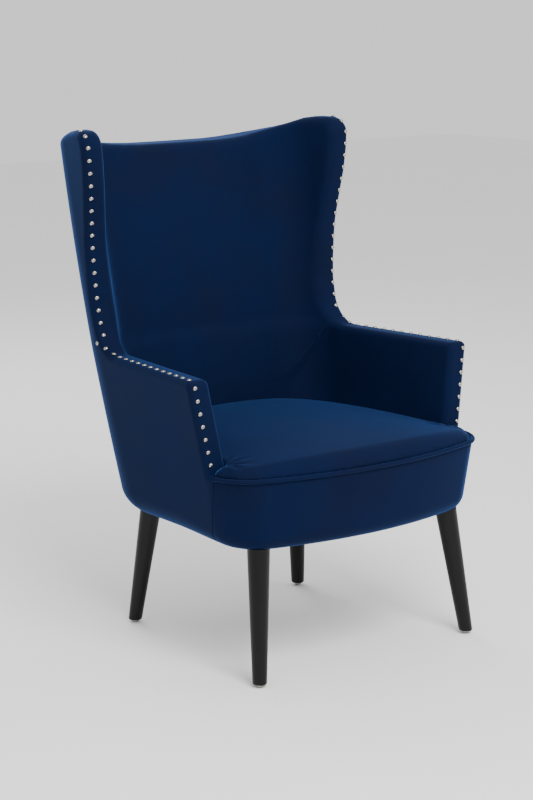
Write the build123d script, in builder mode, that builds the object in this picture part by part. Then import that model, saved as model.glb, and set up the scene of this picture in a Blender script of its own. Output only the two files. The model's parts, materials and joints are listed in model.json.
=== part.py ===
from build123d import *
import os
from math import sqrt, hypot

# Wingback armchair with flared arms, turned legs and nailed edges.
# Millimetres. Origin on the floor under the middle of the chair, front towards -Y, up +Z.
# Left and right are the sitter's: +X is left.

os.makedirs("parts", exist_ok=True)

# ---------------------------------------------------------------- driving dimensions
body_bottom = 258.0          # lowest line of the upholstery
bottom_round = 45.0          # how far the lower edge rolls under
arm_top = 580.0
seat_line = 398.0            # height of the piping on the seat's front edge
seat_crown = 437.0
front_width = 297.0          # half width at the arm fronts, at flare_base height
flare_base = 260.0
front_flare = 0.181          # outward lean of the arm fronts, per mm of height
rear_width = 283.0           # half width where the arm meets the wing
rear_flare = 0.10
wing_flare = 0.066           # lean of the wings above the arms
arm_front_y = -212.0         # arm front face at the arm top
arm_front_lean = 0.0886
rear_side_y = 116.0          # where rear_width is measured
back_foot_y = 197.0          # outside back at flare_base height
back_rake = 0.2308
corner_radius = 150.0        # outside rear corner, in plan
arm_thickness = 47.0
back_thickness_low = 63.0    # at seat height
back_thickness_high = 80.0   # near the crest
inner_radius = 105.0         # inside corner between wing and back
front_y = -357.0             # middle of the bowed front
front_corner = 70.0          # plan radius of the front corners
front_corner_y = -245.0
cloth = 1.5

frame_bottom = 262.0
rail_height = 60.0
rail_thickness = 30.0
front_rail_y = -276.0        # middle of the front rail
rear_rail_y = 144.0          # middle of the rear rail
frame_half_width = 262.0
frame_half_width_rear = 247.0
board = 20.0                 # thickness of the upright boards in the arms and wings
board_inset = 8.0

leg_top_diameter = 44.0
leg_foot_diameter = 28.0
leg_top = 260.5
glide_height = 6.0
bolt_diameter = 8.0
insert_diameter = 12.0
nail_diameter = 9.0
nail_rise = 3.2
nail_pitch = 25.0
piping_diameter = 8.0

# foot place (x, y) and lean per mm of height (x inwards, y)
front_leg = (268.0, -314.0, -0.106, 0.148)
rear_leg = (218.0, 167.0, -0.1065, -0.1026)


# ---------------------------------------------------------------- shape of the walls
def side_x(y, z):
    """Outer half width of the chair at a place along its side."""
    front = front_width + front_flare * (z - flare_base)
    rear = rear_width + rear_flare * (min(z, arm_top) - flare_base) + wing_flare * max(z - arm_top, 0)
    return front + (rear - front) * (y - arm_front_y) / (rear_side_y - arm_front_y)


def side_normal(z):
    slope = (side_x(1, z) - side_x(0, z))
    return (1 / hypot(1, slope), -slope / hypot(1, slope))


def back_y(z):
    return back_foot_y + back_rake * (z - flare_base)


def front_of_arm(z):
    return arm_front_y - arm_front_lean * (arm_top - z)


def roll_under(z):
    """How far the lower edge of the upholstery has rolled in at a height."""
    rise = min(z - body_bottom, bottom_round)
    return bottom_round - sqrt(bottom_round**2 - (bottom_round - rise) ** 2)


def corner_centre(z, inset=0.0, back_inset=None, radius=corner_radius):
    """Centre of the arc joining a side line and a back line, each set in by some distance."""
    back_inset = inset if back_inset is None else back_inset
    nx, ny = side_normal(z)
    y = back_y(z) - back_inset - radius
    x = side_x(y, z) - (inset + radius) / nx
    return x, y


def wall_point(y, z, inset):
    """Point of the wall at a place along it, set in from the outer surface."""
    nx, ny = side_normal(z)
    cx, cy = corner_centre(z)
    depth = inset + roll_under(z)
    if y > cy + corner_radius * ny:
        ny = min((y - cy) / corner_radius, 1)
        nx = sqrt(1 - ny**2)
        return cx + (corner_radius - depth) * nx, cy + (corner_radius - depth) * ny
    return side_x(y, z) - depth * nx, y - depth * ny


def back_thickness(z):
    share = (z - 430) / (950 - 430)
    return back_thickness_low + share * (back_thickness_high - back_thickness_low)


def half_path(y_front, z, inset, back_inset, radius):
    """Side line, corner arc and its end on the back line: start, tangent, middle, end."""
    nx, ny = side_normal(z)
    cx, cy = corner_centre(z, inset, back_inset, radius)
    tangent = (cx + radius * nx, cy + radius * ny)
    mx, my = nx, ny + 1
    middle = (cx + radius * mx / hypot(mx, my), cy + radius * my / hypot(mx, my))
    start = (side_x(y_front, z) - inset / nx, y_front)
    return start, tangent, middle, (cx, cy + radius)


def outer_path(y_front, z, depth):
    depth += roll_under(z)
    return half_path(y_front, z, depth, depth, corner_radius - depth)


def inner_path(y_front, z, cover):
    """The inner surface, moved into the wall by the thickness of what covers it."""
    return half_path(y_front, z, arm_thickness - cover, back_thickness(z) - cover, inner_radius + cover)


def foam_back_path(y_front, z):
    return half_path(y_front, z, 30.0, 37.0, 110.0)


def draw_path(path, mirrored=False):
    side = -1 if mirrored else 1
    start, tangent, middle, end = [(side * x, y) for x, y in path]
    Line(start, tangent)
    ThreePointArc(tangent, middle, end)


def half_strip(z, outside, inside):
    """Add a face to the part: one side of the wall, between two paths that end on the back."""
    with BuildSketch(Plane.XY.offset(z)) as slice:
        with BuildLine():
            draw_path(outside)
            draw_path(inside)
            Line(outside[0], inside[0])
            Line(outside[3], inside[3])
        make_face()
    add(slice.sketch)


def full_strip(z, outside, inside):
    """Add a face to the part: the whole wall, one side, the back and the other side."""
    with BuildSketch(Plane.XY.offset(z)) as slice:
        with BuildLine():
            for path in (outside, inside):
                draw_path(path)
                draw_path(path, mirrored=True)
                Line(path[3], (-path[3][0], path[3][1]))
            Line(outside[0], inside[0])
            Line((-outside[0][0], outside[0][1]), (-inside[0][0], inside[0][1]))
        make_face()
    add(slice.sketch)


def plan_face(z, points):
    with BuildSketch(Plane.XY.offset(z)) as slice:
        with BuildLine():
            Polyline(*points, close=True)
        make_face()
    add(slice.sketch)


def box_face(z, x0, x1, y0, y1):
    plan_face(z, [(x0, y0), (x1, y0), (x1, y1), (x0, y1)])


def wall_quad(z, y0, y1, inset0, inset1):
    """Four-cornered slice of a board that stands in the wall."""
    corners = [(y0, inset0), (y1, inset0), (y1, inset1), (y0, inset1)]
    plan_face(z, [wall_point(y, z, inset) for y, inset in corners])


# side view of the wing's front edge, the ear and the fall to the crest, as (y, z)
wing_edge = [(60, 580), (112, 586), (141, 612), (156, 660), (161, 715), (159, 790), (152, 864), (145, 916),
             (144, 962), (152, 995), (172, 1012), (201, 1017), (231, 1012), (261, 1001), (289, 989),
             (316, 975), (340, 970)]


def side_outline(margin=0.0):
    """Side view of wall, wing and crest, set in by a margin; the wing edge and ear are one curve."""
    moved = []
    for index, (y, z) in enumerate(wing_edge):
        before, after = wing_edge[max(index - 1, 0)], wing_edge[min(index + 1, len(wing_edge) - 1)]
        run_y, run_z = after[0] - before[0], after[1] - before[1]
        moved.append((y + margin * run_z / hypot(run_y, run_z), z - margin * run_y / hypot(run_y, run_z)))
    top, crest = arm_top - margin, 968 - margin
    moved[0] = (60, top)
    with BuildSketch(Plane.YZ) as outline:
        with BuildLine():
            Spline(*moved, tangents=((1, 0), (1, -0.05)))
            Polyline(moved[-1], (430, crest), (430, 200), (-420, 200), (-420, top), moved[0])
        make_face()
    return outline.sketch


# front view of the crest, from the middle out to the ear, as (x, z)
crest_line = [(0, 970), (150, 972), (205, 977), (236, 985), (262, 994), (288, 1008), (308, 1024), (340, 1036)]


def crest_outline(margin):
    with BuildSketch(Plane.XZ) as outline:
        with BuildLine():
            left = [(x, z - margin) for x, z in crest_line]
            right = [(-x, z) for x, z in reversed(left[1:])]
            Spline(*right, *left)
            Polyline(left[-1], (left[-1][0], 200), (right[0][0], 200), right[0])
        make_face()
    return outline.sketch


def clip_to_outline(margin=0.0):
    """Cut the part to the side view and to the crest's line."""
    extrude(side_outline(margin), amount=400, both=True, mode=Mode.INTERSECT)
    extrude(crest_outline(margin), amount=500, both=True, mode=Mode.INTERSECT)


# heights at which the walls are drawn; the lowest ones follow the rolled edge
roll_heights = [body_bottom + 4, body_bottom + 12, body_bottom + 25, body_bottom + bottom_round]
wall_heights = roll_heights + [430, arm_top, 760, 900, 1030]


def export(part, name):
    part.label = name
    export_step(part, f"parts/{name}.step")


def export_pair(left, name):
    """The left piece and its mirror image on the right."""
    export(left, name + "_left")
    with BuildPart() as right:
        mirror(left, about=Plane.YZ)
    export(right.part, name + "_right")


# ---------------------------------------------------------------- legs, bolts, inserts, glides
def leg_axis(leg, z, x_side=1):
    x, y, lean_x, lean_y = leg
    return x_side * (x + lean_x * z), y + lean_y * z


def leaning_rod(leg, low, high, low_diameter, high_diameter, x_side=1, mode=Mode.ADD):
    """A rod along the leg's own axis, cut level at both ends."""
    faces = []
    for z, diameter in ((low, low_diameter), (high, high_diameter)):
        with BuildSketch(Plane.XY.offset(z), mode=Mode.PRIVATE) as ring:
            with Locations(leg_axis(leg, z, x_side)):
                Circle(diameter / 2)
        faces.append(ring.sketch)
    loft(faces, mode=mode)


chamfer_rise = 2.0
for leg, place in ((front_leg, "front"), (rear_leg, "rear")):
    with BuildPart() as turned_leg:
        leaning_rod(leg, glide_height, glide_height + chamfer_rise, leg_foot_diameter - 3, leg_foot_diameter)
        leaning_rod(leg, glide_height + chamfer_rise, leg_top, leg_foot_diameter, leg_top_diameter)
        leaning_rod(leg, 220, leg_top, bolt_diameter + 0.3, bolt_diameter + 0.3, mode=Mode.SUBTRACT)
        leaning_rod(leg, glide_height, 22, 3.2, 3.2, mode=Mode.SUBTRACT)
    export_pair(turned_leg.part, f"leg_{place}")

four_legs = [(leg, side) for leg in (front_leg, rear_leg) for side in (1, -1)]

with BuildPart() as hanger_bolts:
    for leg, side in four_legs:
        leaning_rod(leg, 222, 280, bolt_diameter, bolt_diameter, side)
export(hanger_bolts.part, "hanger_bolts")

with BuildPart() as threaded_inserts:
    for leg, side in four_legs:
        leaning_rod(leg, frame_bottom, 284, insert_diameter, insert_diameter, side)
        leaning_rod(leg, frame_bottom, 284, bolt_diameter + 0.3, bolt_diameter + 0.3, side, Mode.SUBTRACT)
export(threaded_inserts.part, "threaded_inserts")

glide_profile = [(0, 0), (4.2, 0), (6.4, 1.1), (7.7, 3.0), (7.9, glide_height), (0, glide_height)]
with BuildPart() as leg_glides:
    for leg, side in four_legs:
        x, y = leg_axis(leg, glide_height, side)
        with BuildSketch(Plane((x, y, 0), x_dir=(1, 0, 0), z_dir=(0, -1, 0))):
            Polygon(*glide_profile, align=None)
        revolve(axis=Axis((x, y, 0), (0, 0, 1)))
        leaning_rod(leg, glide_height - 1, 20, 2.8, 2.8, side)
export(leg_glides.part, "leg_glides")

# ---------------------------------------------------------------- seat frame
rail_top = frame_bottom + rail_height
front_rail_back = front_rail_y + rail_thickness / 2
rear_rail_front = rear_rail_y - rail_thickness / 2
screw_height = frame_bottom + 38
screw_length = 46.0
block_leg = 62.0
block_low = frame_bottom + 18


def side_rail_x(y):
    share = (y - front_rail_back) / (rear_rail_front - front_rail_back)
    return frame_half_width + share * (frame_half_width_rear - frame_half_width)


# screws through each corner block: one into the cross rail, one into the side rail
screw_places = []
for side in (1, -1):
    for rail_face, into in ((front_rail_back, -1), (rear_rail_front, 1)):
        inner_x = side_rail_x(rail_face) - rail_thickness
        offset_y = 20 if rail_face == front_rail_back else 32
        offset_x = 30 if rail_face == front_rail_back else 44
        screw_places.append(((side * (inner_x - offset_x), rail_face, screw_height), (0, into, 0)))
        place_y = rail_face - into * offset_y
        screw_places.append(((side * (side_rail_x(place_y) - rail_thickness), place_y, screw_height - 16),
                             (side, 0, 0)))


def screw_bodies(extra=0.0, mode=Mode.ADD):
    """Screw shanks centred on the joint, heads sunk in the blocks."""
    for centre, direction in screw_places:
        start = Vector(*centre) - Vector(*direction) * (screw_length / 2)
        with BuildSketch(Plane(start, z_dir=direction)) as shank:
            Circle(2.5 + extra)
        extrude(shank.sketch, amount=screw_length, mode=mode)


with BuildPart() as core:
    # the space inside the covers; every rail is trimmed to it
    for z in [frame_bottom - 0.01, frame_bottom + 10, frame_bottom + 24, 303, 340]:
        with BuildSketch(Plane.XY.offset(z)):
            with BuildLine():
                path = outer_path(front_rail_y - 40, z, 7)
                draw_path(path)
                draw_path(path, mirrored=True)
                Line(path[3], (-path[3][0], path[3][1]))
                Line(path[0], (-path[0][0], path[0][1]))
            make_face()
    loft(ruled=True)


def cross_rail(y, half_length, legs):
    box_face(frame_bottom, -half_length, half_length, y - rail_thickness / 2, y + rail_thickness / 2)
    extrude(amount=rail_height)
    chamfer(edges().filter_by(Axis.Z).group_by(Axis.Y)[0 if y < 0 else -1], 11)
    add(core.part, mode=Mode.INTERSECT)
    for side in (1, -1):
        leaning_rod(legs, frame_bottom - 1, 286, insert_diameter + 0.3, insert_diameter + 0.3, side,
                    Mode.SUBTRACT)
    screw_bodies(0.15, Mode.SUBTRACT)


with BuildPart() as front_seat_rail:
    cross_rail(front_rail_y, frame_half_width, front_leg)
export(front_seat_rail.part, "front_seat_rail")

with BuildPart() as rear_seat_rail:
    cross_rail(rear_rail_y, frame_half_width_rear, rear_leg)
export(rear_seat_rail.part, "rear_seat_rail")

with BuildPart() as side_rail:
    corners = [(side_rail_x(y) - inset, y) for y, inset in
               ((front_rail_back, 0), (rear_rail_front, 0), (rear_rail_front, rail_thickness),
                (front_rail_back, rail_thickness))]
    plan_face(frame_bottom, corners)
    extrude(amount=rail_height)
    add(core.part, mode=Mode.INTERSECT)
    screw_bodies(0.15, Mode.SUBTRACT)
export_pair(side_rail.part, "seat_rail")

for place, face_y, toward in (("front", front_rail_back, 1), ("rear", rear_rail_front, -1)):
    size = block_leg if place == "front" else block_leg + 14
    with BuildPart() as blocks:
        for side in (1, -1):
            corner = side_rail_x(face_y) - rail_thickness
            along = side_rail_x(face_y + toward * size) - rail_thickness
            plan_face(block_low, [(side * corner, face_y), (side * (corner - size), face_y),
                                  (side * (corner - size), face_y + toward * 14),
                                  (side * (along - 14), face_y + toward * size),
                                  (side * along, face_y + toward * size)])
        extrude(amount=40)
        add(core.part, mode=Mode.INTERSECT)
        screw_bodies(0.15, Mode.SUBTRACT)
    export(blocks.part, f"{place}_corner_blocks")

with BuildPart() as frame_screws:
    screw_bodies()
    add(core.part, mode=Mode.INTERSECT)
export(frame_screws.part, "frame_screws")

# ---------------------------------------------------------------- seat springs and deck
spring_wire = 3.6
spring_height = rail_top + 6
spring_count = 5
spring_spacing = 84.0
spring_start = front_rail_y
spring_end = rear_rail_y
spring_swing = 25.0
spring_turns = 19

with BuildPart() as seat_springs:
    pitch = (spring_end - spring_start - 20) / spring_turns
    for index in range(spring_count):
        x = (index - (spring_count - 1) / 2) * spring_spacing
        points = [(x, spring_start), (x, spring_start + 10)]
        for turn in range(spring_turns):
            swing = spring_swing if turn % 2 else -spring_swing
            y = spring_start + 10 + turn * pitch
            points += [(x + swing, y), (x + swing, y + pitch)]
        points += [(x, spring_end - 10), (x, spring_end)]
        with BuildLine(Plane.XY.offset(spring_height)) as wire:
            FilletPolyline(*points, radius=4.6)
        with BuildSketch(Plane((x, spring_start, spring_height), z_dir=(0, 1, 0))):
            Circle(spring_wire / 2)
        sweep(path=wire.wires()[0])
export(seat_springs.part, "seat_springs")

with BuildPart() as spring_clips:
    for index in range(spring_count):
        x = (index - (spring_count - 1) / 2) * spring_spacing
        for y, toward in ((spring_start, 1), (spring_end, -1)):
            # a folded strip: a foot on the rail and a lip over the wire's end
            with BuildSketch(Plane.YZ.offset(x - 9)):
                with BuildLine():
                    Polyline((y - toward * 9, rail_top), (y + toward * 9, rail_top),
                             (y + toward * 9, rail_top + 1.5), (y - toward * 6.5, rail_top + 1.5),
                             (y - toward * 6.5, spring_height + 3.2), (y + toward * 5, spring_height + 3.2),
                             (y + toward * 5, spring_height + 4.4), (y - toward * 9, spring_height + 4.4),
                             close=True)
                make_face()
            extrude(amount=18)
export(spring_clips.part, "spring_clips")

deck_height = spring_height + 8
tie_height = spring_height + spring_wire / 2 + 1.4
with BuildPart() as tie_wires:
    for y in (-130.0, -10.0):
        half = side_rail_x(y) - rail_thickness / 2
        with BuildSketch(Plane.YZ.offset(-half)):
            with Locations((y, tie_height)):
                Circle(1.2)
        extrude(amount=2 * half)
export(tie_wires.part, "tie_wires")

with BuildPart() as seat_deck:
    plan_face(deck_height, [(-frame_half_width + 4, front_rail_y - 12), (frame_half_width - 4,
              front_rail_y - 12),
                            (frame_half_width_rear - 6, 60), (frame_half_width_rear - 60, 128),
                            (-frame_half_width_rear + 60, 128), (-frame_half_width_rear + 6, 60)])
    extrude(amount=cloth)
export(seat_deck.part, "seat_deck")


# ---------------------------------------------------------------- seat and front border
def front_arcs(z, inset):
    """Corner arc and bowed front, tangent to each other: start, middle and end of the corner arc."""
    radius = front_corner - inset
    cx = side_x(front_corner_y, z) - front_corner
    depth = front_y + inset - front_corner_y
    bow_radius = (radius**2 - cx**2 - depth**2) / (2 * (depth + radius))
    toward = Vector(cx, front_corner_y - (front_y + inset + bow_radius)).normalized()
    half = (toward + Vector(1, 0)).normalized()
    centre = Vector(cx, front_corner_y)
    return [centre + toward * radius, centre + half * radius, centre + Vector(radius, 0)]


def seat_face(z, inset, rear):
    """Add a face: bowed front between rounded corners, straight shoulders in front of the arms."""
    start, middle, end = [tuple(point)[:2] for point in front_arcs(z, inset)]
    with BuildSketch(Plane.XY.offset(z)) as slice:
        with BuildLine():
            ThreePointArc((-start[0], start[1]), (0, front_y + inset), start)
            for side in (1, -1):
                ThreePointArc((side * start[0], start[1]), (side * middle[0], middle[1]),
                              (side * end[0], end[1]))
                Line((side * end[0], end[1]), (side * end[0], rear))
            Line((end[0], rear), (-end[0], rear))
        make_face()
    add(slice.sketch)


shoulder_y = -235.0          # back of the seat's shoulders, just in front of the arms
seat_side = 264.0            # half width of the seat between the arms
seat_taper = 14.0            # the seat narrows towards the back
seat_rear_side = 196.0
seat_rear_y = 158.0


def seat_block(low, high, inset, rounding):
    """The seat: wide shoulders in front of the arms, narrower body between them."""
    seat_face(low, inset, shoulder_y - inset)
    extrude(amount=high - low)
    plan_face(low, [(-seat_side + inset, shoulder_y - 30), (seat_side - inset, shoulder_y - 30),
                    (seat_side - seat_taper - inset, 90), (seat_rear_side - inset, seat_rear_y - inset),
                    (-seat_rear_side + inset, seat_rear_y - inset), (-seat_side + seat_taper + inset, 90)])
    extrude(amount=high - low)
    fillet(faces().sort_by(Axis.Z)[-1].edges(), rounding)


with BuildPart() as seat_foam:
    seat_block(deck_height + cloth + 0.5, seat_crown - cloth - 0.5, 8.0, 14.0)
export(seat_foam.part, "seat_foam")

with BuildPart() as seat_hollow:
    seat_block(seat_line, seat_crown - cloth, 8.0 - 0.4, 14.4)

with BuildPart() as seat_top_cover:
    seat_block(seat_line + 4.5, seat_crown, 8.0 - cloth - 0.5, 16.0)
    add(seat_hollow.part, mode=Mode.SUBTRACT)
export(seat_top_cover.part, "seat_top_cover")

# the front border rolls in towards its lower edge
border_levels = [(seat_line - 4.5, 0.0), (340, 3.0), (300, 7.0), (276, 11.0), (frame_bottom + 0.5, 16.0)]


def border_shell(inset, rear):
    for z, roll in border_levels:
        seat_face(z, roll + inset, rear)
    loft(ruled=True)


with BuildPart() as front_border_foam:
    border_shell(cloth + 0.5, shoulder_y - 4)
    box_face(body_bottom, -frame_half_width - 2, frame_half_width + 2,
             front_rail_y - rail_thickness / 2 - 1, 0)
    extrude(amount=200, mode=Mode.SUBTRACT)
    # the seat foam rests on it, so it stops at the deck
    box_face(deck_height, -400, 400, -400, 400)
    extrude(amount=200, mode=Mode.SUBTRACT)
export(front_border_foam.part, "front_border_foam")

with BuildPart() as inside_border:
    border_shell(cloth, shoulder_y + 20)

with BuildPart() as front_border_cover:
    border_shell(0.0, shoulder_y - 4)
    add(inside_border.part, mode=Mode.SUBTRACT)
export(front_border_cover.part, "front_border_cover")

with BuildPart() as seat_piping:
    start, middle, end = [tuple(point)[:2] for point in front_arcs(seat_line, 0.5)]
    end_y = front_corner_y + 6
    with BuildLine(Plane.XY.offset(seat_line)) as welt:
        Line((-end[0], end_y), (-end[0], end[1]))
        ThreePointArc((-end[0], end[1]), (-middle[0], middle[1]), (-start[0], start[1]))
        ThreePointArc((-start[0], start[1]), (0, front_y + 0.5), start)
        ThreePointArc(start, middle, end)
        Line(end, (end[0], end_y))
    with BuildSketch(Plane((-end[0], end_y, seat_line), z_dir=(0, -1, 0))):
        Circle(piping_diameter / 2)
    sweep(path=welt.wires()[0])
export(seat_piping.part, "seat_piping")


# ---------------------------------------------------------------- arm and wing frame
edge_padding = 11.0


def wing_front(z):
    """Front edge of the wing's upright, raked below the arm and following the wing's edge above it."""
    if z <= arm_top:
        return 131 + back_rake * (z - arm_top)
    rising = [(131 - edge_padding, arm_top)] + wing_edge[2:10]
    for (y0, z0), (y1, z1) in zip(rising, rising[1:]):
        if z <= z1:
            return y0 + (y1 - y0) * (z - z0) / (z1 - z0) + edge_padding


post_depth = 40.0
with BuildPart() as arm_post:
    for z in (280, 300, 360, 574):
        wall_quad(z, front_of_arm(z) + 6, front_of_arm(z) + 6 + post_depth, board_inset, board_inset + board)
    loft(ruled=True)
export_pair(arm_post.part, "arm_post")

with BuildPart() as arm_rail:
    for z in (540, 574):
        wall_quad(z, front_of_arm(z) + 6.5 + post_depth, wing_front(540) - 1, board_inset,
                  board_inset + board)
    loft(ruled=True)
export_pair(arm_rail.part, "arm_rail")

wing_levels = [290, 330, 430, arm_top, 640, 700, 780, 860, 940, 985]
with BuildPart() as wing_post:
    for z in wing_levels:
        wall_quad(z, wing_front(z), wing_front(z) + 30, board_inset, board_inset + board)
    loft(ruled=True)
export_pair(wing_post.part, "wing_post")

# ---------------------------------------------------------------- back frame
post_width = 38.0
post_front = 34.0
post_rear = 9.0


def post_face(z):
    cx = corner_centre(z)[0]
    rear = back_y(z) - post_rear - roll_under(z)
    front = back_y(z) - post_front
    if z <= rail_top:
        front = rear_rail_y + rail_thickness / 2 + 0.2
    plan_face(z, [(cx - post_width, front), (cx - 1, front), (cx - 1, rear), (cx - post_width, rear)])


with BuildPart() as back_post:
    for z in (284, rail_top, 350, 430, arm_top, 760, 955):
        post_face(z)
    loft(ruled=True)
export_pair(back_post.part, "back_post")


def back_rail(low, high):
    for z in (low, high):
        half = min(corner_centre(low)[0], corner_centre(high)[0]) - post_width - 0.3
        plan_face(z, [(-half, back_y(z) - 32), (half, back_y(z) - 32),
                      (half, back_y(z) - 10), (-half, back_y(z) - 10)])
    loft(ruled=True)


with BuildPart() as lower_back_rail:
    back_rail(400, 445)
export(lower_back_rail.part, "lower_back_rail")

with BuildPart() as crest_rail:
    back_rail(912, 955)
export(crest_rail.part, "crest_rail")

rib_thickness = 18.0
rib_inset = 24.0             # depth of the ribs' inner edge, clear of the wing foam
with BuildPart() as wing_ribs:
    for z in (400, 640, 770, 900):
        start_y = wing_front(z + rib_thickness) + 31.5
        cx, cy = corner_centre(z)
        rib_edges = []
        for inset in (board_inset + 2, rib_inset):
            radius = corner_radius - inset
            ny = (start_y - cy) / corner_radius
            direction = (sqrt(1 - ny**2), ny)
            mid = (direction[0], direction[1] + 1)
            rib_edges.append([(cx + radius * direction[0], cy + radius * direction[1]),
                              (cx + radius * mid[0] / hypot(*mid), cy + radius * mid[1] / hypot(*mid)),
                              (cx + 1.5, sqrt(radius**2 - 1.5**2) + cy)])
        with BuildSketch(Plane.XY.offset(z)):
            with BuildLine():
                for arc in rib_edges:
                    ThreePointArc(*arc)
                Line(rib_edges[0][0], rib_edges[1][0])
                Line(rib_edges[0][2], rib_edges[1][2])
            make_face()
        extrude(amount=rib_thickness)
export_pair(wing_ribs.part, "wing_ribs")

strap_width = 60.0
with BuildPart() as back_webbing:
    for centre in (510, 595, 680, 765, 850):
        for z in (centre - strap_width / 2, centre + strap_width / 2):
            half = corner_centre(centre)[0] - 8
            plan_face(z, [(-half, back_y(z) - 35.8), (half, back_y(z) - 35.8),
                          (half, back_y(z) - 34.4), (-half, back_y(z) - 34.4)])
        loft(ruled=True)
export(back_webbing.part, "back_webbing")

# ---------------------------------------------------------------- foams on the walls
foam_gap = cloth + 0.5
arm_end_y = 112.0            # where the arm's padding meets the wing
inner_heights = [352, 430, arm_top, 760, 900, 1030]
foam_split = 160.0


def wall_foam():
    """Foam from the frame to just under the inside cover, the wings and the back in one sweep."""
    for z in inner_heights:
        full_strip(z, foam_back_path(60, z), inner_path(60, z, foam_gap))
    loft(ruled=True)
    clip_to_outline(foam_gap + 2.5)


with BuildPart() as back_foam:
    wall_foam()
    box_face(300, -foam_split, foam_split, -400, 400)
    extrude(amount=800, mode=Mode.INTERSECT)
export(back_foam.part, "back_foam")

with BuildPart() as wing_foam:
    wall_foam()
    box_face(300, foam_split + 0.5, 400, -400, 400)
    extrude(amount=800, mode=Mode.INTERSECT)
    box_face(340, foam_split, 400, 0, arm_end_y + 2)
    extrude(amount=arm_top + 5 - 340, mode=Mode.SUBTRACT)
export_pair(wing_foam.part, "wing_foam")

with BuildPart() as arm_foam:
    for z in (404, arm_top - 3):
        wall_quad(z, front_of_arm(z) + 4, arm_end_y, board_inset + board + 1, arm_thickness - foam_gap)
    loft(ruled=True)
export_pair(arm_foam.part, "arm_foam")

# ---------------------------------------------------------------- backing boards and outside covers
board_thickness = 3.0


def side_skin(depth0, depth1, front_gap, margin):
    """Outer skin of one side, from the arm front to the corner of the back."""
    for z in wall_heights:
        y = front_of_arm(min(z, arm_top)) + front_gap
        half_strip(z, outer_path(y, z, depth0), outer_path(y, z, depth1))
    loft(ruled=True)
    clip_to_outline(margin)


with BuildPart() as outside_cover:
    side_skin(0, cloth, 0, 0)
export_pair(outside_cover.part, "outside_cover")

with BuildPart() as side_backing:
    side_skin(cloth + 0.5, cloth + 0.5 + board_thickness, 2, 8)
export_pair(side_backing.part, "side_backing")


def back_skin(depth0, depth1, highest):
    for z in roll_heights + [430, arm_top, 760, highest]:
        half = corner_centre(z)[0] - 0.6
        rear = back_y(z) - roll_under(z)
        plan_face(z, [(-half, rear - depth0), (half, rear - depth0), (half, rear - depth1), (-half,
                  rear - depth1)])
    loft(ruled=True)


with BuildPart() as outside_back_cover:
    back_skin(0, cloth, 966)
export(outside_back_cover.part, "outside_back_cover")

with BuildPart() as back_backing:
    back_skin(cloth + 0.5, cloth + 0.5 + board_thickness, 960)
export(back_backing.part, "back_backing")

# ---------------------------------------------------------------- inside covers
with BuildPart() as inside_back_cover:
    # one sheet across both wings and the back
    for z in [404, 430, arm_top, 760, 900, 1030]:
        full_strip(z, inner_path(60, z, cloth), inner_path(60, z, 0))
    loft(ruled=True)
    clip_to_outline()
    # the arms cover the wings' lower ends
    box_face(380, -400, 400, 0, arm_end_y + 1)
    extrude(amount=arm_top + 5 - 380, mode=Mode.SUBTRACT)
export(inside_back_cover.part, "inside_back_cover")

with BuildPart() as arm_filling:
    for z in (400, arm_top - cloth):
        wall_quad(z, front_of_arm(z) + cloth, 140, -20, arm_thickness - cloth)
    loft(ruled=True)

with BuildPart() as inside_arm_cover:
    for z in (404, arm_top):
        wall_quad(z, front_of_arm(z), arm_end_y - 2, cloth + 0.5, arm_thickness)
    loft(ruled=True)
    add(arm_filling.part, mode=Mode.SUBTRACT)
export_pair(inside_arm_cover.part, "inside_arm_cover")

# ---------------------------------------------------------------- dust cover and staples
dust_outline = [(-238, -296), (238, -296), (238, -240), (216, 60), (192, 120), (150, 160),
                (-150, 160), (-192, 120), (-216, 60), (-238, -240)]
with BuildPart() as dust_cover:
    plan_face(leg_top, dust_outline)
    extrude(amount=cloth)
    for leg, side in four_legs:
        leaning_rod(leg, leg_top - 1, leg_top + 3, bolt_diameter + 1, bolt_diameter + 1, side, Mode.SUBTRACT)
export(dust_cover.part, "dust_cover")

staple_height = 0.7
with BuildPart() as dust_cover_staples:
    with BuildSketch(Plane.XY.offset(leg_top - staple_height)):
        for x in range(-180, 181, 40):
            with Locations((x, -288)):
                Rectangle(10, 1.2)
        for x in range(-140, 141, 40):
            with Locations((x, 152)):
                Rectangle(10, 1.2)
        for y in range(-220, 41, 40):
            for side in (1, -1):
                with Locations((side * (223 - 0.07 * (y + 220)), y)):
                    Rectangle(1.2, 10)
    extrude(amount=staple_height)
export(dust_cover_staples.part, "dust_cover_staples")


# ---------------------------------------------------------------- nailheads
nail_inset = 11.0
nail_gap = 0.8


def nail(centre, outward):
    """A domed head standing on the cover."""
    radius = nail_diameter / 2
    sphere = (radius**2 + nail_rise**2) / (2 * nail_rise)
    # the profile stands in the plane of the chair's width and the nail's own direction
    outward = Vector(*outward)
    profile_plane = Plane(centre, x_dir=(1, 0, 0), z_dir=Vector(1, 0, 0).cross(outward))
    with BuildSketch(profile_plane) as profile:
        with BuildLine():
            Line((0, 0), (radius, 0))
            RadiusArc((radius, 0), (0, nail_rise), -sphere)
            Line((0, nail_rise), (0, 0))
        make_face()
    revolve(profile.sketch, axis=Axis(centre, outward))


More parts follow.
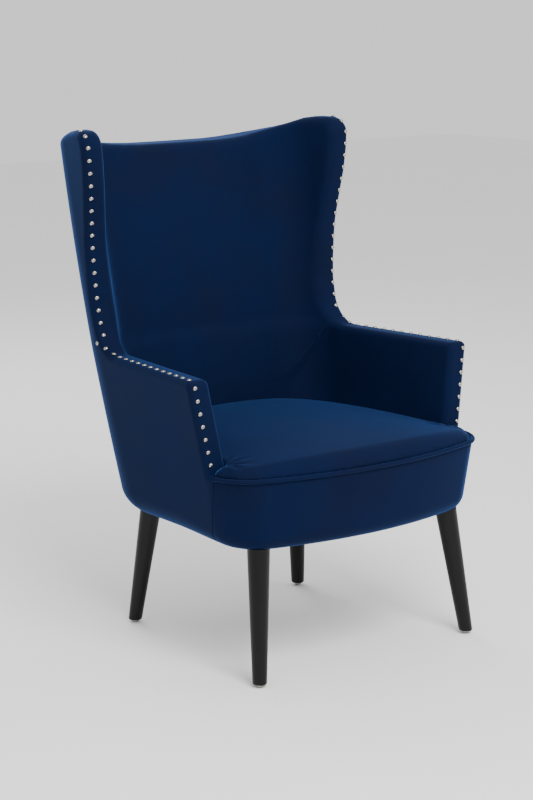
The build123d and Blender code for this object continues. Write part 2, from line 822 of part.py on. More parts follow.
with BuildPart() as nailheads:
    # down the arm's front
    z = arm_top - 12
    while z > seat_line + 10:
        x, y = wall_point(front_of_arm(z), z, nail_inset)
        nail((x, y - nail_gap, z), (0, -1, arm_front_lean))
        z -= nail_pitch
    # along the arm's top
    y = arm_front_y + 16
    while y < 100:
        x = wall_point(y, arm_top, nail_inset)[0]
        nail((x, y, arm_top + nail_gap), (0, 0, 1))
        y += nail_pitch
    # up the wing and over the ear
    edge = side_outline().edges().filter_by(GeomType.BSPLINE)[0]
    count = 21
    ends = (0.14, 0.735) if (edge @ 0).Z < (edge @ 1).Z else (0.86, 0.265)
    for index in range(count):
        share = ends[0] + (ends[1] - ends[0]) * index / (count - 1)
        point = edge @ share
        along = (edge % share) * (1 if ends[0] < ends[1] else -1)
        normal = Vector(0, -along.Z, along.Y)
        x = wall_point(point.Y, point.Z, nail_inset)[0]
        nail((x, point.Y + normal.Y * nail_gap, point.Z + normal.Z * nail_gap), (0, normal.Y, normal.Z))
export_pair(nailheads.part, "nailheads")
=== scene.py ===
import json
import math
import bpy
import numpy as np
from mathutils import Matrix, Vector

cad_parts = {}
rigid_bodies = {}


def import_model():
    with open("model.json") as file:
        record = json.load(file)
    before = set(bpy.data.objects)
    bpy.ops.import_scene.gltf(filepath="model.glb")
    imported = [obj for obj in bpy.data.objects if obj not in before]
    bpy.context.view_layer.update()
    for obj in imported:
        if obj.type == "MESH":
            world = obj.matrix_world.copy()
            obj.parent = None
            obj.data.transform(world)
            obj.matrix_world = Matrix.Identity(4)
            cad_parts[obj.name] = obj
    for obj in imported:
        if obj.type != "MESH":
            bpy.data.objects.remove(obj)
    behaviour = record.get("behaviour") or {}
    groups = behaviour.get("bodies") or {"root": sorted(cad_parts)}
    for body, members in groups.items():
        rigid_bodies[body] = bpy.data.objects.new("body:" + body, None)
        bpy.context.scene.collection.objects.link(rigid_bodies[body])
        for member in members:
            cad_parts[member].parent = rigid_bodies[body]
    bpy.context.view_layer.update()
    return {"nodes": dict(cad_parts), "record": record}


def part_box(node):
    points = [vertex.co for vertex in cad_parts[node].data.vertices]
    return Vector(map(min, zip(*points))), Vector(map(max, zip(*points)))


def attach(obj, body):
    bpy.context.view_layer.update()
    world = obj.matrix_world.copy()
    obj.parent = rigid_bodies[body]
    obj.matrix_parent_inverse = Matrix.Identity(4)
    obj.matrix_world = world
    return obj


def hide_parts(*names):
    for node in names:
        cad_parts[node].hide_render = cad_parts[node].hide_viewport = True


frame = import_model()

# A wingback armchair. Metres, front towards -Y; the sitter's left is +X.
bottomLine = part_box("dust_cover")[1][2] - 0.0003
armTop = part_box("inside_arm_cover_left")[1][2]
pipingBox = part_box("seat_piping")
seatLine = (pipingBox[0][2] + pipingBox[1][2]) / 2
frontY = pipingBox[0][1] + 0.004
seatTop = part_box("seat_top_cover")[1][2]

# the walls in plan: a leaning side line, a round rear corner and a straight back
walls = {
    "flareFrom": 0.260, "armFrontHalfWidth": 0.297, "armFrontFlare": 0.181,
    "rearHalfWidth": 0.283, "rearFlare": 0.10, "wingFlare": 0.082,
    "armFrontY": -0.212, "armFrontLean": 0.0886, "rearMeasuredAt": 0.116,
    "backFoot": 0.197, "backRake": 0.2308, "cornerRadius": 0.150, "innerRadius": 0.100,
    "armThickness": 0.047, "wingThickness": 0.049, "backThicknessLow": 0.064, "backThicknessHigh": 0.078,
    "armEdge": 0.012, "wingEdge": 0.017, "earRound": 0.036, "junctionRound": 0.064,
    "rollSides": 0.045, "rollFront": 0.031, "frontCorner": 0.070, "frontBow": 0.865, "frontTaper": 0.07,
    "nailInset": 0.0125, "rollDrop": 0.0050, "liningInset": 0.046,
    "wallFoot": 0.045, "crestRadius": 0.125, "seatLevel": 0.43, "padHeight": 0.52, "padBelly": 0.006,
    "lapBlend": 0.006, "backLap": 0.0055,
}
# the wing's front edge from the arm up, as (height, y)
wingHeights = [0.560, 0.640, 0.675, 0.715, 0.760, 0.800, 0.850, 0.905, 0.950, 1.000]
wingEdges = [0.1460, 0.1505, 0.1575, 0.1605, 0.1620, 0.1610, 0.1545, 0.1465, 0.1440, 0.1450]
# height of the top edge, from the middle of the back round to the ear, along the middle of the wall
crestRun = [-0.50, -0.27, -0.226, -0.183, -0.143, -0.099, -0.053, -0.014, 0.017, 0.2]
crestHeights = [0.970, 0.971, 0.973, 0.9765, 0.982, 0.990, 1.001, 1.012, 1.0165, 1.0168]
# where the inside back laps over the inside arm, as (height, y)
lapHeights = [0.380, 0.416, 0.462, 0.516, 0.558, 0.585]
lapLine = [0.160, 0.168, 0.170, 0.152, 0.131, 0.113]


def roundMax(a, b, radius):
    # intersection of two solids with a round edge
    deep = np.minimum(np.maximum(a, b), -radius)
    return deep + np.hypot(np.maximum(a + radius, 0), np.maximum(b + radius, 0))


def roundMin(a, b, radius):
    return -roundMax(-a, -b, radius)


def smoothStep(low, high, value):
    t = np.clip((value - low) / (high - low), 0, 1)
    return t * t * (3 - 2 * t)


def sideLine(y, z):
    w = walls
    front = w["armFrontHalfWidth"] + w["armFrontFlare"] * (z - w["flareFrom"])
    rear = (w["rearHalfWidth"] + w["rearFlare"] * (np.minimum(z, armTop) - w["flareFrom"])
            + w["wingFlare"] * np.maximum(z - armTop, 0))
    slope = (rear - front) / (w["rearMeasuredAt"] - w["armFrontY"])
    return front + slope * (y - w["armFrontY"]), slope


def backLine(z):
    return walls["backFoot"] + walls["backRake"] * (z - walls["flareFrom"])


def corner(x, y, z, sideInset, backInset, radius):
    # signed distance in plan to side, corner arc and back; and the run along the wall
    _, slope = sideLine(0, z)
    scale = np.hypot(1, slope)
    nx, ny = 1 / scale, -slope / scale
    cy = backLine(z) - backInset - radius
    edge, _ = sideLine(cy, z)
    cx = edge - (sideInset + radius) / nx
    px, py = x - cx, y - cy
    inArc = (nx * py - ny * px > 0) & (px > 0)
    flat = np.maximum(nx * px + ny * py, py)
    distance = np.where(inArc, np.hypot(px, py), flat) - radius
    angle = np.arctan2(py, np.maximum(px, 1e-9))
    return distance, px, py, angle


def outerWall(x, y, z):
    return corner(x, y, z, 0.0, 0.0, walls["cornerRadius"])[0]


def innerWall(x, y, z):
    w = walls
    rise = smoothStep(0.56, 0.66, z)
    side = w["armThickness"] + (w["wingThickness"] - w["armThickness"]) * rise
    share = np.clip((z - w["seatLevel"]) / w["padHeight"], 0, 1.1)
    back = w["backThicknessLow"] + (w["backThicknessHigh"] - w["backThicknessLow"]) * share
    distance = corner(x, y, z, side, back, w["innerRadius"])[0]
    past = y - np.interp(z, lapHeights, lapLine)
    lap = smoothStep(-w["lapBlend"], w["lapBlend"], past) * (1 - smoothStep(0.565, 0.60, z))
    # soft pads belly out a little between their edges
    swell = np.sin(np.pi * np.clip((z - w["seatLevel"]) / 0.50, 0, 1))
    belly = w["padBelly"] * swell * smoothStep(0.10, 0.26, y)
    return distance + w["backLap"] * lap + belly * (x < 0.3)


def crestHeight(x, y, z):
    _, px, py, angle = corner(x, y, z, 0.0, 0.0, walls["cornerRadius"])
    radius = walls["crestRadius"]
    run = np.where(px < 0, -radius * math.pi / 2 + px, np.where(py > 0, -radius * angle, -py))
    return np.interp(run, crestRun, crestHeights)


def wallOutline(x, y, z):
    # side view of arm and wing, and the line of the crest
    w = walls
    wing = roundMax(z - crestHeight(x, y, z), np.interp(z, wingHeights, wingEdges) - y, w["earRound"])
    armFront = w["armFrontY"] - w["armFrontLean"] * (armTop - z) - y
    arm = roundMax(z - armTop, armFront, 0.010)
    return roundMin(wing, arm, w["junctionRound"])


def wallSolid(x, y, z):
    w = walls
    outline = wallOutline(x, y, z)
    edge = w["armEdge"] + (w["wingEdge"] - w["armEdge"]) * smoothStep(0.585, 0.68, z)
    outside = roundMax(outerWall(x, y, z), outline, edge)
    inside = roundMax(-innerWall(x, y, z), outline, edge)
    return np.maximum(outside, inside)


def bodyPlan(x, y, z):
    # plan of the whole lower body: sides, rear corners and the bowed front
    w = walls
    bowed = frontY + w["frontTaper"] * (seatLine - z)
    centreY = bowed + w["frontBow"]
    bow = np.hypot(x, y - centreY) - w["frontBow"]
    return roundMax(outerWall(x, y, z), bow, w["frontCorner"])


def lowerBody(x, y, z):
    # rolled under all round, with a shallow well where the lining lies
    w = walls
    roll = w["rollFront"] + (w["rollSides"] - w["rollFront"]) * smoothStep(-0.24, -0.05, y)
    rolled = roundMax(bodyPlan(x, y, z), bottomLine - w["rollDrop"] - z, roll)
    well = np.maximum(bodyPlan(x, y, np.full_like(z, bottomLine)) + w["liningInset"], z - bottomLine)
    rolled = roundMax(rolled, -well, 0.0015)
    return roundMax(rolled, z - (seatLine - 0.001), 0.003)


def upholstery(x, y, z):
    x = np.abs(x)
    # the walls end inside the lower body, which alone shapes the rolled edge
    walled = np.maximum(wallSolid(x, y, z), seatLine - walls["wallFoot"] - z)
    return np.minimum(walled, lowerBody(x, y, z))


# the seat's crown, its fall to the edges and the gathers beside the arm fronts
seatShape = {
    "coverLift": 0.004, "sideFall": 0.021, "endFall": 0.010, "middleY": -0.09, "halfDepth": 0.27,
    "gatherX": 0.283, "gatherY": -0.232, "gatherAt": 0.020, "gatherSpread": 0.022, "gatherRise": 0.0016,
    "gatherFolds": 9, "gatherTurn": 0.8, "flankInset": 0.0015, "topRound": 0.030, "wallGap": 0.0022,
    "tuckRound": 0.010,
}


def seatSurface(x, y):
    # crowned top, pulled down towards the arms and the back
    q = seatShape
    half = sideLine(y, seatTop)[0] - walls["armThickness"]
    across = np.clip(np.abs(x) / np.maximum(half, 0.1), 0, 1.2)
    along = np.clip((y - q["middleY"]) / q["halfDepth"], -1.05, 1.05)
    height = seatTop + q["coverLift"] - q["sideFall"] * across**2.4 - q["endFall"] * np.abs(along)**2.2
    # small gathers where the cloth is pulled round the arm fronts
    dx, dy = np.abs(x) - q["gatherX"], y - q["gatherY"]
    reach = np.exp(-((np.hypot(dx, dy) - q["gatherAt"]) / q["gatherSpread"])**2)
    folds = np.sin(q["gatherFolds"] * np.arctan2(dy, dx) + q["gatherTurn"])
    return height + q["gatherRise"] * reach * folds


def seatSolid(x, y, z):
    q = seatShape
    flank = bodyPlan(np.abs(x), y, np.full_like(z, seatLine)) + q["flankInset"]
    top = roundMax(flank, z - seatSurface(x, y), q["topRound"])
    clear = q["wallGap"] - wallSolid(np.abs(x), y, z)
    tucked = roundMax(top, clear, q["tuckRound"])
    return np.maximum(tucked, (seatLine + 0.0005) - z)


def gradient(solid, points, step=2e-4):
    base = solid(*points.T)
    slopes = np.empty_like(points)
    for axis in range(3):
        moved = points.copy()
        moved[:, axis] += step
        slopes[:, axis] = (solid(*moved.T) - base) / step
    return base, slopes


def settle(solid, points, rounds=3):
    # slide every point along the slope onto the surface
    for _ in range(rounds):
        value, slope = gradient(solid, points)
        length = np.maximum((slope**2).sum(1), 0.2)
        points = points - slope * np.clip(value / length, -0.004, 0.004)[:, None]
    return points


def surfaceNet(solid, low, high, cell):
    # quads through every cell that the surface crosses
    counts = [int(math.ceil((high[i] - low[i]) / cell)) + 1 for i in range(3)]
    axes = [low[i] + cell * np.arange(counts[i]) for i in range(3)]
    values = np.empty(counts)
    yy, zz = np.meshgrid(axes[1], axes[2], indexing="ij")
    for i, x in enumerate(axes[0]):
        values[i] = solid(np.full_like(yy, x), yy, zz)
    inside = values < 0
    cells = [c - 1 for c in counts]
    total = np.zeros(cells)
    sums = np.zeros(cells + [3])
    offsets = [(i, j, k) for i in (0, 1) for j in (0, 1) for k in (0, 1)]
    view = {o: tuple(slice(o[a], o[a] + cells[a]) for a in range(3)) for o in offsets}
    for o in offsets:
        for axis in range(3):
            if o[axis]:
                continue
            p = tuple(o[a] + (1 if a == axis else 0) for a in range(3))
            va, vb = values[view[o]], values[view[p]]
            cross = inside[view[o]] != inside[view[p]]
            share = np.where(cross, va / np.where(cross, va - vb, 1), 0)
            total += cross
            for a in range(3):
                sums[..., a] += cross * (o[a] + (share if a == axis else 0))
    active = total > 0
    index = np.full(cells, -1)
    index[active] = np.arange(active.sum())
    where = np.argwhere(active)
    points = (where + sums[active] / total[active][:, None]) * cell + np.array(low)
    quads = []
    for axis in range(3):
        others = [a for a in range(3) if a != axis]
        lowSlice = [slice(1, cells[a]) for a in range(3)]
        lowSlice[axis] = slice(0, cells[axis])
        highSlice = list(lowSlice)
        highSlice[axis] = slice(1, cells[axis] + 1)
        a, b = inside[tuple(lowSlice)], inside[tuple(highSlice)]
        flip = np.argwhere(a != b)
        start = np.array([0 if i == axis else 1 for i in range(3)])
        cellAt = flip + start
        ring = []
        for s, t in ((0, 0), (1, 0), (1, 1), (0, 1)):
            shift = np.zeros(3, int)
            shift[others[0]], shift[others[1]] = -1 + s, -1 + t
            ring.append(index[tuple((cellAt + shift).T)])
        ring = np.stack(ring, 1)
        outward = a[tuple(flip.T)] == (axis != 1)
        ring[~outward] = ring[~outward][:, ::-1]
        quads.append(ring)
    return points, np.concatenate(quads)


def relax(solid, points, quads, rounds):
    # even out the quads while they stay on the surface
    ends = np.concatenate([quads[:, [i, (i + 1) % 4]] for i in range(4)])
    for _ in range(rounds):
        near = np.zeros_like(points)
        count = np.zeros(len(points))
        for a, b in ((0, 1), (1, 0)):
            for axis in range(3):
                near[:, axis] += np.bincount(ends[:, a], points[ends[:, b], axis], len(points))
            count += np.bincount(ends[:, a], minlength=len(points))
        middle = near / np.maximum(count, 1)[:, None]
        points = settle(solid, points + 0.55 * (middle - points), 1)
    return points


def meshFrom(name, points, faces):
    mesh = bpy.data.meshes.new(name)
    mesh.from_pydata([tuple(p) for p in points], [], [tuple(int(i) for i in f) for f in faces])
    mesh.validate()
    return mesh


def addPiece(name, mesh):
    piece = bpy.data.objects.new(name, mesh)
    bpy.context.scene.collection.objects.link(piece)
    for polygon in mesh.polygons:
        polygon.use_smooth = True
    return piece


def meshTool(name, sockets):
    # a node group with named inputs and one mesh going in and out
    group = bpy.data.node_groups.new(name, "GeometryNodeTree")
    for label, kind in [("Geometry", "NodeSocketGeometry")] + sockets:
        group.interface.new_socket(name=label, in_out="INPUT", socket_type=kind)
    group.interface.new_socket(name="Geometry", in_out="OUTPUT", socket_type="NodeSocketGeometry")
    return group, group.nodes.new("NodeGroupInput"), group.nodes.new("NodeGroupOutput")


def applyTool(name, source, group, values):
    # run the group on a source mesh and keep the result as a plain mesh
    holder = bpy.data.objects.new(name + "Path", source)
    bpy.context.scene.collection.objects.link(holder)
    modifier = holder.modifiers.new("build", "NODES")
    modifier.node_group = group
    for item in group.interface.items_tree:
        if item.in_out == "INPUT" and item.name in values:
            modifier[item.identifier] = values[item.name]
    bpy.context.view_layer.update()
    result = bpy.data.meshes.new_from_object(holder.evaluated_get(bpy.context.evaluated_depsgraph_get()))
    bpy.data.objects.remove(holder)
    result.name = name
    return addPiece(name, result)


def cordTool():
    # a round cord swept along an edge chain
    group, given, out = meshTool("sweptCord", [("Radius", "NodeSocketFloat"), ("Sides", "NodeSocketInt"),
                                               ("Material", "NodeSocketMaterial")])
    toCurve = group.nodes.new("GeometryNodeMeshToCurve")
    circle = group.nodes.new("GeometryNodeCurvePrimitiveCircle")
    sweep = group.nodes.new("GeometryNodeCurveToMesh")
    real = group.nodes.new("GeometryNodeRealizeInstances")
    dress = group.nodes.new("GeometryNodeSetMaterial")
    sweep.inputs["Fill Caps"].default_value = True
    link = group.links.new
    link(given.outputs["Geometry"], toCurve.inputs[0])
    link(given.outputs["Radius"], circle.inputs["Radius"])
    link(given.outputs["Sides"], circle.inputs["Resolution"])
    link(toCurve.outputs[0], sweep.inputs["Curve"])
    link(circle.outputs["Curve"], sweep.inputs["Profile Curve"])
    link(sweep.outputs[0], real.inputs[0])
    link(real.outputs[0], dress.inputs["Geometry"])
    link(given.outputs["Material"], dress.inputs["Material"])
    link(dress.outputs[0], out.inputs[0])
    return group


def studTool():
    # one domed head on every point, turned to face along the point's direction
    group, given, out = meshTool("studRow", [("Head", "NodeSocketObject"),
                                             ("Material", "NodeSocketMaterial")])
    info = group.nodes.new("GeometryNodeObjectInfo")
    facing = group.nodes.new("GeometryNodeInputNamedAttribute")
    facing.data_type = "FLOAT_VECTOR"
    facing.inputs["Name"].default_value = "facing"
    align = group.nodes.new("FunctionNodeAlignRotationToVector")
    align.axis = "Z"
    place = group.nodes.new("GeometryNodeInstanceOnPoints")
    real = group.nodes.new("GeometryNodeRealizeInstances")
    dress = group.nodes.new("GeometryNodeSetMaterial")
    link = group.links.new
    link(given.outputs["Head"], info.inputs["Object"])
    link(given.outputs["Geometry"], place.inputs["Points"])
    link(info.outputs["Geometry"], place.inputs["Instance"])
    link(facing.outputs["Attribute"], align.inputs["Vector"])
    link(align.outputs["Rotation"], place.inputs["Rotation"])
    link(place.outputs[0], real.inputs[0])
    link(real.outputs[0], dress.inputs["Geometry"])
    link(given.outputs["Material"], dress.inputs["Material"])
    link(dress.outputs[0], out.inputs[0])
    return group


def chain(name, points):
    mesh = bpy.data.meshes.new(name)
    mesh.from_pydata([tuple(p) for p in points], [(i, i + 1) for i in range(len(points) - 1)], [])
    return mesh


def spaced(points, pitch):
    # points at even steps along a polyline
    points = np.asarray(points)
    run = np.concatenate([[0], np.cumsum(np.linalg.norm(np.diff(points, axis=0), axis=1))])
    count = max(int(round(run[-1] / pitch)), 1)
    marks = np.linspace(0, run[-1], count + 1)
    return np.stack([np.interp(marks, run, points[:, a]) for a in range(3)], 1)


def mirrored(points):
    return np.asarray(points) * np.array([-1, 1, 1])


# colour and surface of each material
def linear(code):
    parts = [int(code[i:i + 2], 16) / 255 for i in (1, 3, 5)]
    return [c / 12.92 if c <= 0.04045 else ((c + 0.055) / 1.055)**2.4 for c in parts] + [1.0]


def addNode(material, kind, links=None, **values):
    node = material.node_tree.nodes.new(kind)
    for key, value in values.items():
        setattr(node, key, value)
    for socket, source in (links or {}).items():
        if isinstance(source, bpy.types.NodeSocket):
            material.node_tree.links.new(source, node.inputs[socket])
        else:
            node.inputs[socket].default_value = source
    return node


def blankMaterial(name):
    material = bpy.data.materials.new(name)
    material.use_nodes = True
    return material, material.node_tree.nodes["Principled BSDF"]


def ramp(material, source, stops):
    node = addNode(material, "ShaderNodeValToRGB", {"Fac": source})
    for i, (position, code) in enumerate(stops):
        stop = node.color_ramp.elements[i] if i < 2 else node.color_ramp.elements.new(position)
        stop.position, stop.color = position, linear(code)
    return node


def grained(name, look):
    # a two-tone surface with a fine bump: cloth, foam, board, metal and wood all start here
    material, shader = blankMaterial(name)
    link = material.node_tree.links.new
    place = addNode(material, "ShaderNodeTexCoord").outputs["Object"]
    stretch = addNode(material, "ShaderNodeMapping", {"Vector": place,
                                                      "Scale": look.get("stretch", (1, 1, 1))})
    broad = addNode(material, "ShaderNodeTexNoise", {
        "Vector": stretch.outputs[0], "Scale": 1 / look["patch"], "Detail": look.get("detail", 4.0),
        "Roughness": 0.55})
    tone = ramp(material, broad.outputs["Fac"], look["tones"])
    fine = addNode(material, "ShaderNodeTexNoise", {
        "Vector": stretch.outputs[0], "Scale": 1 / look["grain"], "Detail": 2.0})
    bump = addNode(material, "ShaderNodeBump", {"Height": fine.outputs["Fac"], "Strength": look["bump"],
                                                "Distance": look["relief"]})
    low, high = look["roughness"]
    rough = addNode(material, "ShaderNodeMapRange", {
        "Value": broad.outputs["Fac"], "From Min": 0.3, "From Max": 0.7, "To Min": low, "To Max": high})
    link(tone.outputs["Color"], shader.inputs["Base Color"])
    link(rough.outputs[0], shader.inputs["Roughness"])
    link(bump.outputs[0], shader.inputs["Normal"])
    for socket, value in look.get("shader", {}).items():
        shader.inputs[socket].default_value = value
    return material


velvet = grained("wovenCottonVelvetNavy", {
    "patch": 0.16, "detail": 7.0, "grain": 0.0011, "bump": 0.35, "relief": 0.0006,
    "tones": [(0.25, "#050f29"), (0.78, "#071433")], "roughness": (0.74, 0.88),
    "shader": {"Sheen Weight": 0.72, "Sheen Roughness": 0.30, "Sheen Tint": linear("#4674c2"),
               "Specular IOR Level": 0.06}})
blackWood = grained("turnedBeechStainedBlackSatin", {
    "patch": 0.012, "detail": 8.0, "grain": 0.0016, "stretch": (1, 1, 0.07), "bump": 0.25, "relief": 0.0003,
    "tones": [(0.35, "#020203"), (0.70, "#060607")], "roughness": (0.32, 0.44),
    "shader": {"Coat Weight": 0.05, "Coat Roughness": 0.25, "Specular IOR Level": 0.2}})
nickel = grained("stampedSteelNickelPlated", {
    "patch": 0.004, "grain": 0.0008, "bump": 0.08, "relief": 0.0001,
    "tones": [(0.35, "#96918a"), (0.70, "#b9b4ac")], "roughness": (0.16, 0.30),
    "shader": {"Metallic": 1.0}})
rawWood = grained("sawnBirchRaw", {
    "patch": 0.018, "detail": 7.0, "grain": 0.0015, "stretch": (0.12, 1, 1), "bump": 0.3, "relief": 0.0004,
    "tones": [(0.32, "#a8814f"), (0.70, "#cba673")], "roughness": (0.6, 0.8)})
zincSteel = grained("drawnSteelZincPlated", {
    "patch": 0.006, "grain": 0.001, "bump": 0.1, "relief": 0.0001,
    "tones": [(0.3, "#8d9194"), (0.72, "#a9adaf")], "roughness": (0.3, 0.45), "shader": {"Metallic": 1.0}})
foamCream = grained("cutPolyurethaneFoam", {
    "patch": 0.03, "grain": 0.0016, "bump": 0.6, "relief": 0.001,
    "tones": [(0.3, "#ddd0aa"), (0.7, "#ece2c6")], "roughness": (0.85, 0.95)})
webCloth = grained("wovenElasticWebbing", {
    "patch": 0.02, "grain": 0.0014, "bump": 0.5, "relief": 0.0006,
    "tones": [(0.3, "#2c2c2a"), (0.7, "#42423f")], "roughness": (0.8, 0.92)})
fibreBoard = grained("pressedFibreboard", {
    "patch": 0.012, "grain": 0.0012, "bump": 0.4, "relief": 0.0003,
    "tones": [(0.3, "#8f7350"), (0.7, "#b0936a")], "roughness": (0.7, 0.88)})
lining = grained("spunbondLiningBlack", {
    "patch": 0.005, "grain": 0.0012, "bump": 0.4, "relief": 0.0003,
    "tones": [(0.3, "#141416"), (0.7, "#242427")], "roughness": (0.8, 0.93)})
finishes = {"velvet": velvet, "black_wood": blackWood, "nickel": nickel, "frame_wood": rawWood,
            "zinc_steel": zincSteel, "foam": foamCream, "webbing": webCloth, "board": fibreBoard,
            "lining": lining}
for part in frame["record"]["subparts"]:
    node = frame["nodes"][part["node"]]
    node.data.materials.clear()
    node.data.materials.append(finishes[part["material_slot"]])
print("materials ready")

# the covered body: arms, wings, back and border in one drawn-on skin
bodySettings = {"cell": 0.0052, "low": (-0.385, -0.372, 0.245), "high": (0.385, 0.400, 1.040), "rounds": 5}


def buildBody(settings):
    cell = settings["cell"] * 1
    points, quads = surfaceNet(upholstery, settings["low"], settings["high"], cell)
    points = settle(upholstery, points)
    points = relax(upholstery, points, quads, settings["rounds"])
    body = addPiece("coveredBody", meshFrom("coveredBody", points, quads))
    body.data.materials.append(velvet)
    return body


coveredBody = buildBody(bodySettings)
print("body:", len(coveredBody.data.polygons), "faces")

seatSettings = {"cell": 0.0050, "low": (-0.345, -0.365, 0.380), "high": (0.345, 0.185, 0.460), "rounds": 4}


def buildSeat(settings):
    cell = settings["cell"] * 1
    points, quads = surfaceNet(seatSolid, settings["low"], settings["high"], cell)
    points = settle(seatSolid, points)
    points = relax(seatSolid, points, quads, settings["rounds"])
    seat = addPiece("sprungSeatTop", meshFrom("sprungSeatTop", points, quads))
    seat.data.materials.append(velvet)
    return seat


seatTopPiece = buildSeat(seatSettings)
print("seat:", len(seatTopPiece.data.polygons), "faces")


def rootAlong(solid, origins, directions, near, far):
    # first crossing from outside to inside along each ray, by bisection
    near = np.full(len(origins), near)
    far = np.full(len(origins), far)
    for _ in range(30):
        middle = (near + far) / 2
        outside = solid(*(origins + directions * middle[:, None]).T) > 0
        near, far = np.where(outside, middle, near), np.where(outside, far, middle)
    return origins + directions * near[:, None]


weltSettings = {"radius": 0.0042, "standOut": 0.0012, "halfSweep": 59.0, "turnFrom": -0.05, "points": 161}
seamSettings = {"radius": 0.0011, "points": 41}
cord = cordTool()


def weltPath(settings):
    sweep = settings["halfSweep"]
    angles = np.radians(np.linspace(-90 - sweep, -90 + sweep, settings["points"]))
    ways = np.stack([np.cos(angles), np.sin(angles), np.zeros_like(angles)], 1)
    centre = np.tile([0.0, settings["turnFrom"], seatLine], (len(angles), 1))
    edge = rootAlong(lambda x, y, z: bodyPlan(np.abs(x), y, z), centre, ways, 0.60, 0.10)
    return edge + ways * settings["standOut"]


def seamPaths(settings):
    steps = np.linspace(0, 1, settings["points"])
    zero = np.zeros_like(steps)
    # where the inside back laps the inside arm
    height = 0.425 + (0.583 - 0.425) * steps
    lap = np.stack([zero + 0.20, np.interp(height, lapHeights, lapLine) + 0.006, height], 1)
    lap = rootAlong(upholstery, lap, np.tile([1.0, 0, 0], (len(steps), 1)), 0.0, 0.11)
    # border to outside panel
    height = 0.397 - (0.397 - 0.268) * steps
    border = np.stack([zero + 0.40, -0.243 + (0.397 - height) * 0.28, height], 1)
    border = rootAlong(upholstery, border, np.tile([-1.0, 0, 0], (len(steps), 1)), 0.0, 0.20)
    # outside panel to outside back
    height = 0.275 + (0.960 - 0.275) * steps
    back = np.stack([zero + 0.165, zero + 0.45, height], 1)
    back = rootAlong(upholstery, back, np.tile([0, -1.0, 0], (len(steps), 1)), 0.0, 0.30)
    return [lap, border, back]


welt = applyTool("frontWelt", chain("weltPath", weltPath(weltSettings)), cord,
                 {"Radius": weltSettings["radius"], "Sides": 14, "Material": velvet})
seams = []
for i, path in enumerate(seamPaths(seamSettings)):
    for side, run in (("Left", path), ("Right", mirrored(path))):
        seams.append(applyTool(("lapSeam", "borderSeam", "backSeam")[i] + side, chain("seam", run), cord,
                               {"Radius": seamSettings["radius"], "Sides": 8, "Material": velvet}))
print("welt and seams ready")

studSettings = {"radius": 0.0045, "rise": 0.0030, "pitch": 0.0252, "rings": 6, "turns": 20, "sunk": 0.0004}


def studHead(settings):
    # low dome closed by a flat underside
    points, faces = [(0, 0, -settings["sunk"])], []
    turns, rings = settings["turns"], settings["rings"]
    for ring in range(rings):
        share = ring / rings
        radius = settings["radius"] * math.cos(share * math.pi / 2)**0.8
        height = settings["rise"] * math.sin(share * math.pi / 2) - settings["sunk"] * (ring == 0)
        points += [(radius * math.cos(2 * math.pi * t / turns), radius * math.sin(2 * math.pi * t / turns),
                    height) for t in range(turns)]
    points.append((0, 0, settings["rise"]))
    for t in range(turns):
        u = (t + 1) % turns
        faces.append((0, 1 + u, 1 + t))
        for ring in range(rings - 1):
            a, b = 1 + ring * turns, 1 + (ring + 1) * turns
            faces.append((a + t, a + u, b + u, b + t))
        a = 1 + (rings - 1) * turns
        faces.append((a + t, a + u, len(points) - 1))
    return addPiece("studHead", meshFrom("studHead", points, faces))


def studPath(settings):
    # up the arm front, along the arm top, up the wing edge and back over the ear
    w = walls
    run = [(w["armFrontY"] - w["armFrontLean"] * (armTop - z), z)
           for z in np.linspace(0.420, armTop - 0.006, 30)]
    run += [(y, armTop) for y in np.linspace(w["armFrontY"] + 0.006, 0.10, 60)]
    run += [(np.interp(z, wingHeights, wingEdges), z) for z in np.linspace(armTop + 0.02, 0.985, 80)]
    run += [(0.148, 1.000), (0.155, 1.009), (0.166, 1.014), (0.180, 1.0165)]
    points = np.array([(0.0, y, z) for y, z in run])
    points[:, 0] = sideLine(points[:, 1], points[:, 2])[0] - w["nailInset"]
    points = settle(wallSolid, points, 8)
    return spaced(points, settings["pitch"])


def buildStuds(settings):
    head, tool = studHead(settings), studTool()
    rows = []
    for side, flip in (("Left", 1), ("Right", -1)):
        points = studPath(settings)
        _, slope = gradient(wallSolid, points)
        facing = slope / np.linalg.norm(slope, axis=1)[:, None]
        turn = np.array([flip, 1, 1])
        mesh = bpy.data.meshes.new("studPoints")
        mesh.from_pydata([tuple(p) for p in points * turn], [], [])
        layer = mesh.attributes.new("facing", "FLOAT_VECTOR", "POINT")
        layer.data.foreach_set("vector", (facing * turn).astype(np.float32).ravel())
        rows.append(applyTool("studRow" + side, mesh, tool, {"Head": head, "Material": nickel}))
    bpy.data.objects.remove(head)
    return rows


studs = buildStuds(studSettings)
print("studs ready")

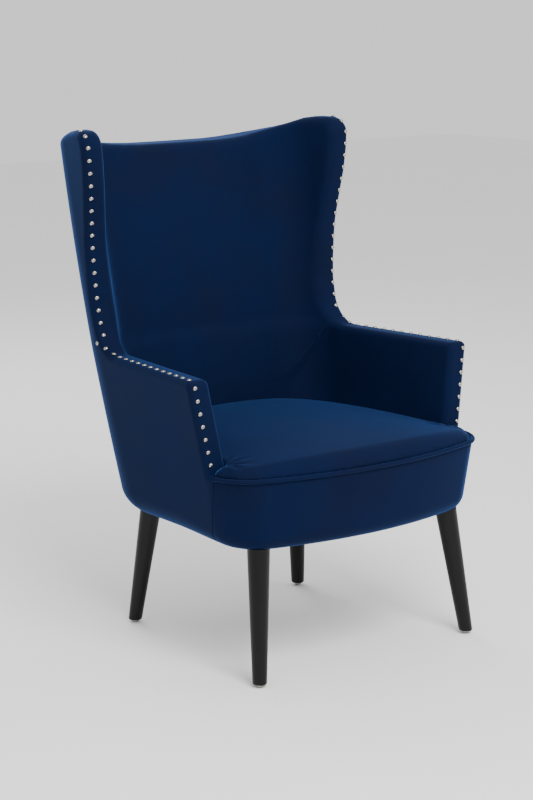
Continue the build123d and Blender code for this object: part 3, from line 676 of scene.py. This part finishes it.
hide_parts("outside_cover_left", "outside_cover_right", "outside_back_cover",
            "inside_back_cover", "inside_arm_cover_left", "inside_arm_cover_right", "front_border_cover",
            "front_border_foam",
            "back_foam", "wing_foam_left", "wing_foam_right", "arm_foam_left", "arm_foam_right",
            "side_backing_left", "side_backing_right", "back_backing")
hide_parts("seat_top_cover", "seat_foam")
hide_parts("seat_piping")
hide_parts("nailheads_left")
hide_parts("nailheads_right")
for piece in [coveredBody, seatTopPiece, welt] + seams:
    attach(piece, "root")
for piece in studs:
    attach(piece, "root")


def buildStage():
    paper = grained("matteBackdropPaper", {
        "patch": 0.6, "grain": 0.004, "bump": 0.02, "relief": 0.0002,
        "tones": [(0.2, "#f4f4f4"), (0.8, "#f7f7f7")], "roughness": (0.9, 0.95)})
    mesh = bpy.data.meshes.new("studioFloor")
    mesh.from_pydata([(-9, -9, 0), (9, -9, 0), (9, 9, 0), (-9, 9, 0)], [], [(0, 1, 2, 3)])
    mesh.materials.append(paper)
    floor = bpy.data.objects.new("studioFloor", mesh)
    bpy.context.scene.collection.objects.link(floor)
    world = bpy.data.worlds.new("studioWorld")
    world.use_nodes = True
    world.node_tree.nodes["Background"].inputs["Color"].default_value = (1, 1, 1, 1)
    world.node_tree.nodes["Background"].inputs["Strength"].default_value = 1.0
    bpy.context.scene.world = world
    # place, size and power of each soft lamp
    lamps = {"key": ((-0.7, -2.6, 3.2), 1.8, 165), "fill": ((2.8, -2.2, 1.8), 2.2, 14),
             "rim": ((0.6, 2.8, 2.6), 1.8, 45)}
    for name, (place, size, power) in lamps.items():
        data = bpy.data.lights.new(name + "Softbox", "AREA")
        data.size, data.energy = size, power
        lamp = bpy.data.objects.new(name + "Softbox", data)
        lamp.location = place
        lamp.rotation_euler = (Vector((0, 0, 0.5)) - Vector(place)).to_track_quat("-Z", "Y").to_euler()
        bpy.context.scene.collection.objects.link(lamp)


def addCamera():
    data = bpy.data.cameras.new("studioCamera")
    data.lens, data.sensor_width = 96.43, 36.0
    data.sensor_fit = "AUTO"
    camera = bpy.data.objects.new("studioCamera", data)
    back = Vector((-0.6093, -0.7668, 0.2018))
    camera.location = (-2.653, -3.336, 1.346)
    camera.rotation_euler = back.normalized().to_track_quat("Z", "Y").to_euler()
    bpy.context.scene.collection.objects.link(camera)
    bpy.context.scene.camera = camera


buildStage()
addCamera()
